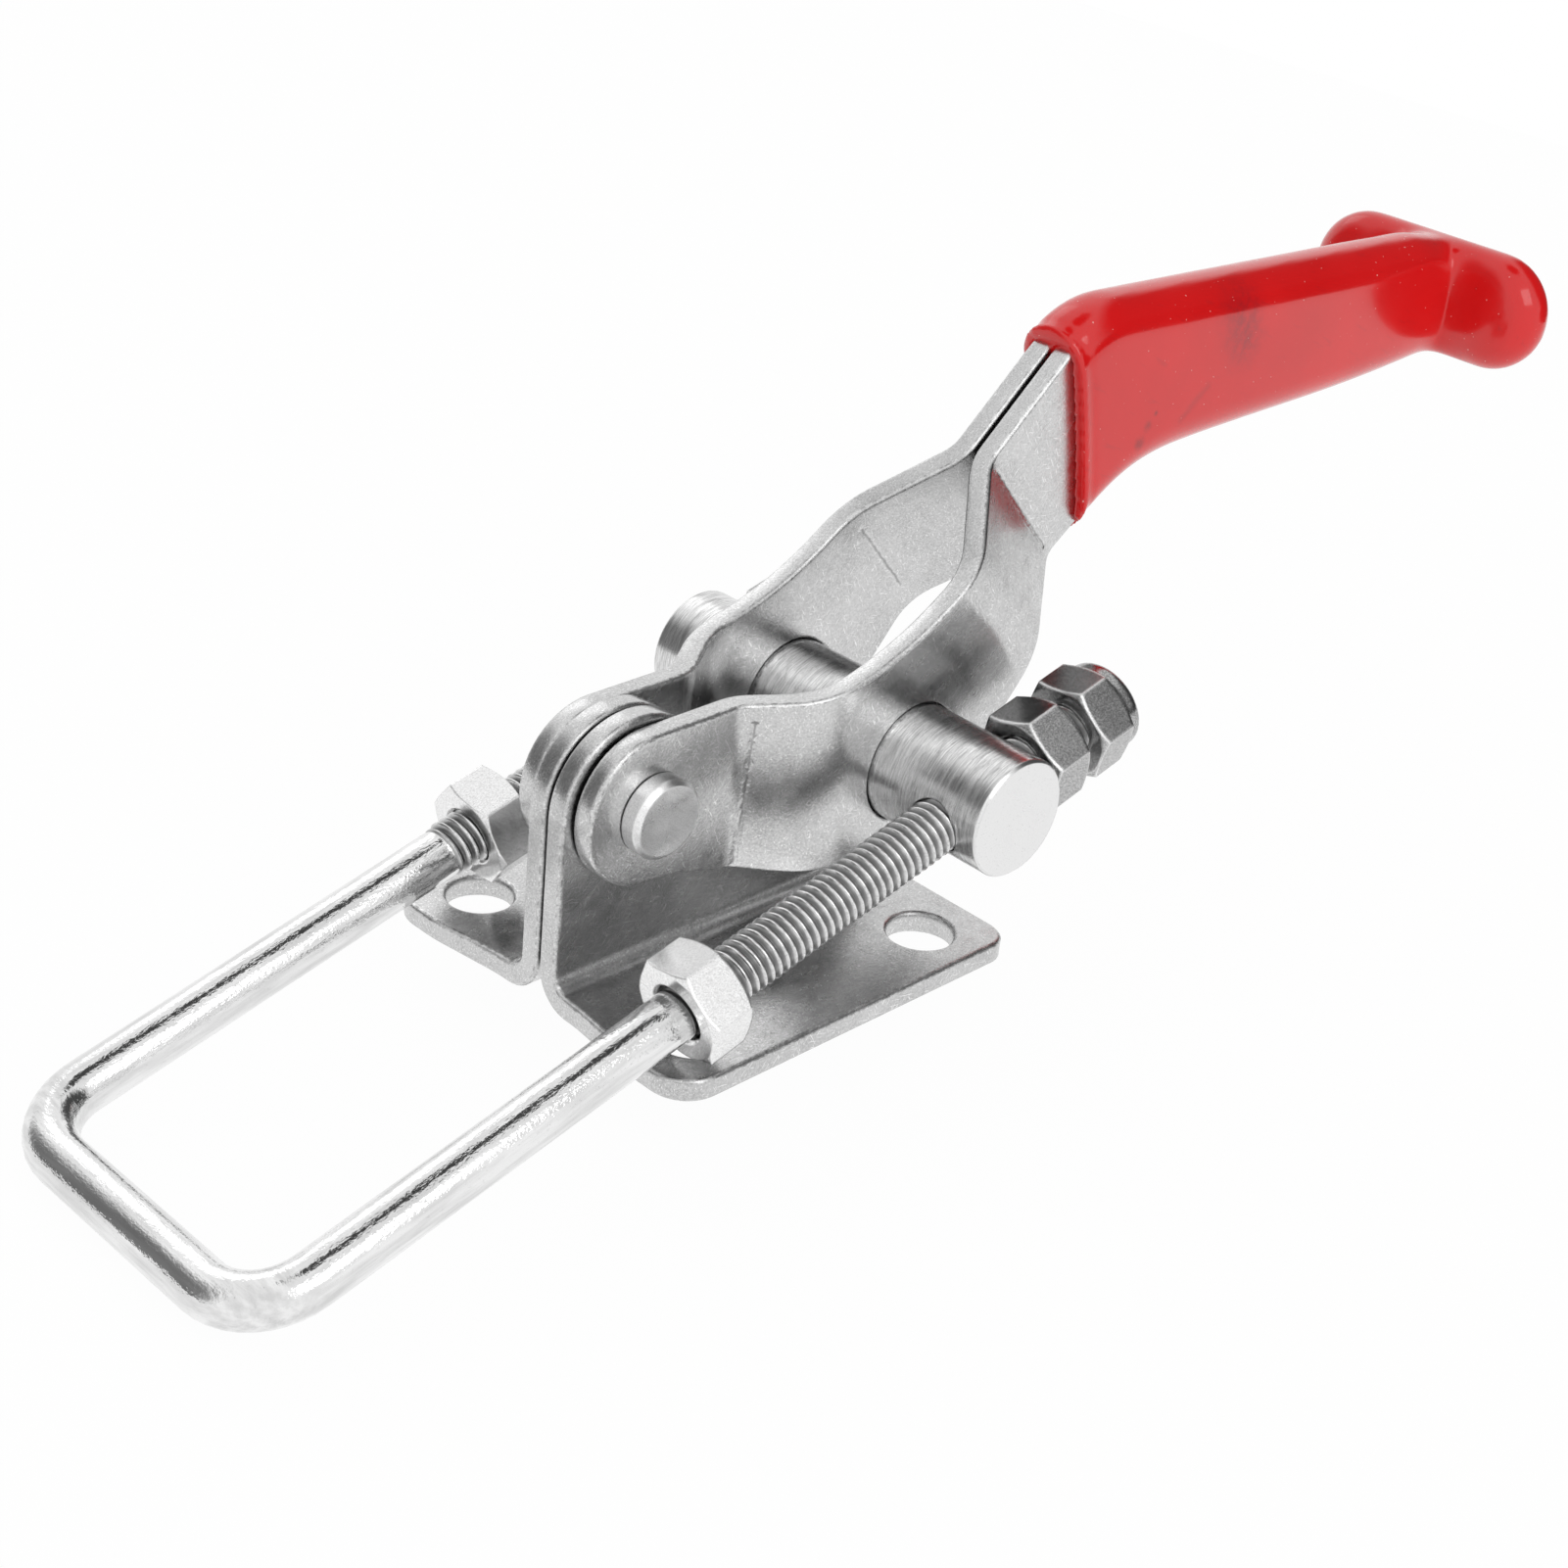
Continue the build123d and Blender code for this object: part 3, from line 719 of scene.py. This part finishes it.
def point_normals(points, faces):
    """Normals of a quad mesh's points."""
    a, b, c, d = (points[faces[:, i]] for i in range(4))
    flat = np.cross(c - a, d - b)
    total = np.zeros_like(points)
    for i in range(4):
        np.add.at(total, faces[:, i], flat)
    return total / np.maximum(np.linalg.norm(total, axis=1), 1e-12)[:, None]


def swell_arms(points, normals, high):
    """Makes the T's arms bulbous towards the front."""
    outer = np.abs(points[:, 1])
    arm_z = points[outer > arm_free][:, 2]
    middle_z = (arm_z.max() + arm_z.min()) / 2
    half_z = (arm_z.max() - arm_z.min()) / 2
    middle_y = (high[1] + arm_inner) / 2
    reach = np.hypot((points[:, 2] - middle_z) / half_z, (outer - middle_y) / (high[1] - middle_y))
    swell = np.clip(1 - reach**2, 0, 1) * np.clip((outer - arm_root) / arm_fade, 0, 1)
    points[:, 0] -= arm_swell * swell * np.clip(-normals[:, 0], 0, 1)


def circle_through(spots):
    """Centre and radius of the circle through three spots."""
    (x1, z1), (x2, z2), (x3, z3) = spots
    across = 2 * (x1 * (z2 - z3) + x2 * (z3 - z1) + x3 * (z1 - z2))
    s1, s2, s3 = x1**2 + z1**2, x2**2 + z2**2, x3**2 + z3**2
    centre_x = (s1 * (z2 - z3) + s2 * (z3 - z1) + s3 * (z1 - z2)) / across
    centre_z = (s1 * (x3 - x2) + s2 * (x1 - x3) + s3 * (x2 - x1)) / across
    return centre_x, centre_z, math.hypot(x1 - centre_x, z1 - centre_z)


def roll_lip(points, normals):
    """A thin rolled lip round the mouth, with a shallow groove behind it."""
    centre_x, centre_z, radius = circle_through([(x * mm, z * mm) for x, z in mouth])
    level = np.zeros(len(points))
    away = np.stack([points[:, 0] - centre_x, level, points[:, 2] - centre_z], axis=1)
    reach = np.linalg.norm(away, axis=1)
    away /= reach[:, None]
    depth = np.abs(reach - radius)
    sideways = normals - away * np.einsum("ij,ij->i", normals, away)[:, None]
    lip = lip_height * np.cos(np.clip(depth / lip_width, 0, 1) * math.pi / 2) ** 2
    from_groove = np.abs(depth - groove_place * lip_width) / (groove_reach * lip_width)
    groove = groove_depth * np.clip(1 - from_groove, 0, 1)
    points += sideways * (lip - groove)[:, None]


def remeshed(source, name):
    """A copy of a CAD node as an even quad mesh; gives the object and its mesh."""
    copy = bpy.data.objects.new(name, source.data.copy())
    bpy.context.collection.objects.link(copy)
    remesh = copy.modifiers.new("remesh", "REMESH")
    remesh.mode = "VOXEL"
    remesh.voxel_size = grip_voxel
    remesh.use_smooth_shade = True
    graph = bpy.context.evaluated_depsgraph_get()
    mesh = bpy.data.meshes.new_from_object(copy.evaluated_get(graph))
    copy.modifiers.clear()
    return copy, mesh


def dipped_grip(material):
    """The grip's coat: the CAD solid remeshed, softened, webbed at the arms and lipped."""
    copy, mesh = remeshed(nodes["grip"], "grip_coat")
    points = np.empty(len(mesh.vertices) * 3)
    mesh.vertices.foreach_get("co", points)
    points = points.reshape(-1, 3)
    edges = np.empty(len(mesh.edges) * 2, dtype=np.int64)
    mesh.edges.foreach_get("vertices", edges)
    edges = edges.reshape(-1, 2)
    faces = np.array([tuple(p.vertices) for p in mesh.polygons if len(p.vertices) == 4])
    degree = np.bincount(edges.ravel(), minlength=len(points)).astype(float)

    def offset():
        """From each point to the mean of its neighbours."""
        return neighbours_mean(points, edges, degree) - points

    for _ in range(soften_rounds):
        points += soften_step * offset()
        points -= soften_step * soften_return * offset()

    low, high = points.min(axis=0), points.max(axis=0)
    swell_arms(points, point_normals(points, faces), high)
    near_arms = np.clip((points[:, 0] - (high[0] - web_reach)) / web_fade, 0, 1)
    for _ in range(web_rounds):
        normals = point_normals(points, faces)
        outwards = np.maximum(np.einsum("ij,ij->i", offset(), normals), 0)
        points += normals * (web_pull * outwards * near_arms)[:, None]
    for _ in range(web_soften_rounds):
        points += soften_step * offset() * near_arms[:, None]
    roll_lip(points, point_normals(points, faces))

    # Nothing grows out of the softened solid's own box
    points[:] = np.clip(points, low, high)
    mesh.vertices.foreach_set("co", points.ravel())
    mesh.materials.clear()
    mesh.materials.append(material)
    smooth_faces(mesh)
    mesh.update()
    copy.data = mesh
    return copy


def studio_world():
    """White to the camera; to the latch, a bright tent with darker gaps between its panels."""
    world = bpy.data.worlds.new("studio")
    bpy.context.scene.world = world
    world.use_nodes = True
    tree = world.node_tree
    tree.nodes.clear()
    coordinates = tree.nodes.new("ShaderNodeTexCoord")

    def gap(azimuth, elevation, radius, softness, depth):
        """The depth inside a round patch of sky, 0 outside it."""
        a, e = math.radians(azimuth), math.radians(elevation)
        middle = (math.cos(a) * math.cos(e), math.sin(a) * math.cos(e), math.sin(e))
        facing = vector_math(tree, "DOT_PRODUCT", coordinates.outputs["Generated"], middle)
        outer = math.cos(math.radians(radius + softness))
        inner = math.cos(math.radians(max(radius - softness, 0)))
        return remap(tree, facing, outer, inner, 0, depth, smooth=True)

    def background():
        """A white background."""
        node = tree.nodes.new("ShaderNodeBackground")
        node.inputs["Color"].default_value = (1, 1, 1, 1)
        node.inputs["Strength"].default_value = 1.0
        return node

    dark = 0.0
    for each in dark_gaps:
        dark = math_node(tree, "MAXIMUM", dark, gap(*each))
    surroundings, white = background(), background()
    tree.links.new(remap(tree, dark, 0, 1, tent_level, 0), surroundings.inputs["Strength"])
    rays = tree.nodes.new("ShaderNodeLightPath")
    mix = tree.nodes.new("ShaderNodeMixShader")
    output = tree.nodes.new("ShaderNodeOutputWorld")
    tree.links.new(rays.outputs["Is Camera Ray"], mix.inputs["Fac"])
    tree.links.new(surroundings.outputs["Background"], mix.inputs[1])
    tree.links.new(white.outputs["Background"], mix.inputs[2])
    tree.links.new(mix.outputs["Shader"], output.inputs["Surface"])


def studio_floor():
    """A white table top that keeps only a faint shadow."""
    material, tree, shader = new_material("table")
    shader.inputs["Base Color"].default_value = (*grey(floor_level), 1)
    shader.inputs["Roughness"].default_value = floor_roughness
    rays = tree.nodes.new("ShaderNodeLightPath")
    seen = math_node(tree, "MAXIMUM", rays.outputs["Is Camera Ray"], rays.outputs["Is Glossy Ray"])
    seen = math_node(tree, "MAXIMUM", seen, rays.outputs["Is Transmission Ray"])
    white = tree.nodes.new("ShaderNodeEmission")
    white.inputs["Strength"].default_value = 1.0
    mix = tree.nodes.new("ShaderNodeMixShader")
    tree.links.new(times(tree, seen, floor_glow), mix.inputs["Fac"])
    tree.links.new(shader.outputs["BSDF"], mix.inputs[1])
    tree.links.new(white.outputs["Emission"], mix.inputs[2])
    tree.links.new(mix.outputs["Shader"], tree.nodes["Material Output"].inputs["Surface"])
    half = floor_size / 2
    corners = [(-half, -half), (half, -half), (half, half), (-half, half)]
    points = [(x, y, floor_height) for x, y in corners]
    floor = mesh_piece("table_top", points, [(0, 1, 2, 3)], material)


def lamp(name, spot, power):
    """A square soft box at a spot from the latch's middle, aimed at it; power in watts."""
    light = bpy.data.lights.new(name, "AREA")
    light.shape = "SQUARE"
    light.size = lamp_size
    light.energy = power
    holder = bpy.data.objects.new(name, light)
    bpy.context.collection.objects.link(holder)
    aim = (cad_box[0] + cad_box[1]) / 2
    holder.location = aim + Vector(spot)
    holder.rotation_euler = (-Vector(spot)).to_track_quat("-Z", "Y").to_euler()


def place_camera():
    """The photograph's camera."""
    data = bpy.data.cameras.new("camera")
    data.lens = camera_lens
    data.sensor_width = camera_sensor
    data.shift_x, data.shift_y = camera_shift
    data.clip_start, data.clip_end = camera_range
    camera = bpy.data.objects.new("camera", data)
    bpy.context.collection.objects.link(camera)
    turn = (
        Matrix.Rotation(math.radians(camera_azimuth), 4, "Z")
        @ Matrix.Rotation(math.radians(90 - camera_elevation), 4, "X")
        @ Matrix.Rotation(math.radians(camera_roll), 4, "Z")
    )
    camera.matrix_world = Matrix.Translation(camera_spot) @ turn
    bpy.context.scene.camera = camera


def dress(names, material):
    """Gives CAD nodes a material."""
    for name in names:
        for slot in nodes[name].material_slots:
            slot.material = material


# Studio
bpy.context.scene.view_settings.view_transform = "Standard"
place_camera()
studio_world()
studio_floor()
lamp("front_box", spot=(-0.10, -0.75, 0.55), power=1.2)
lamp("back_box", spot=(0.25, 0.75, 0.60), power=0.4)

# Materials of the CAD nodes
base_plates = ["base_left", "base_right"]
front_nuts = ["front_nut_left", "front_nut_right"]
rear_nuts = ["rear_nut_left", "rear_nut_right", "lock_nut_left", "lock_nut_right"]
near_creases = (front_crease, shoulder_crease)
far_creases = (inner_crease,)
dress(base_plates, tumbled_steel("tumbled_base", level=0.52))
dress(["handle_left"], tumbled_steel("tumbled_handle_left", 0.55, near_creases))
dress(["handle_right"], tumbled_steel("tumbled_handle_right", 0.54, far_creases))
dress(["pivot_pin"], bright_steel("pin_head", level=0.90, rough=0.32, brushing=0.4))
dress(["barrel"], turned_steel("turned_barrel", level=0.76))
dress(front_nuts, bright_steel("bright_nut", level=0.90, rough=0.16, brushing=0.6))
brushed_nut = bright_steel(
    "brushed_nut", level=0.44, rough=0.17, speckle=(0.55, 1.35), rim=rear_nut_rim
)
dress(rear_nuts, brushed_nut)
dress(["lock_insert_left", "lock_insert_right"], nylon("insert"))

# Soft rims on the sheet parts
for name in (*base_plates, "handle_left", "handle_right"):
    smooth_shading(nodes[name])

# New pieces
wire = hook_wire(drawn_wire("polished_wire"), rolled_thread("thread"))
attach(wire, "hook")
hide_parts("u_bolt")

coat = dipped_grip(dipped_vinyl("red_vinyl"))
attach(coat, "handle")
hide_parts("grip")
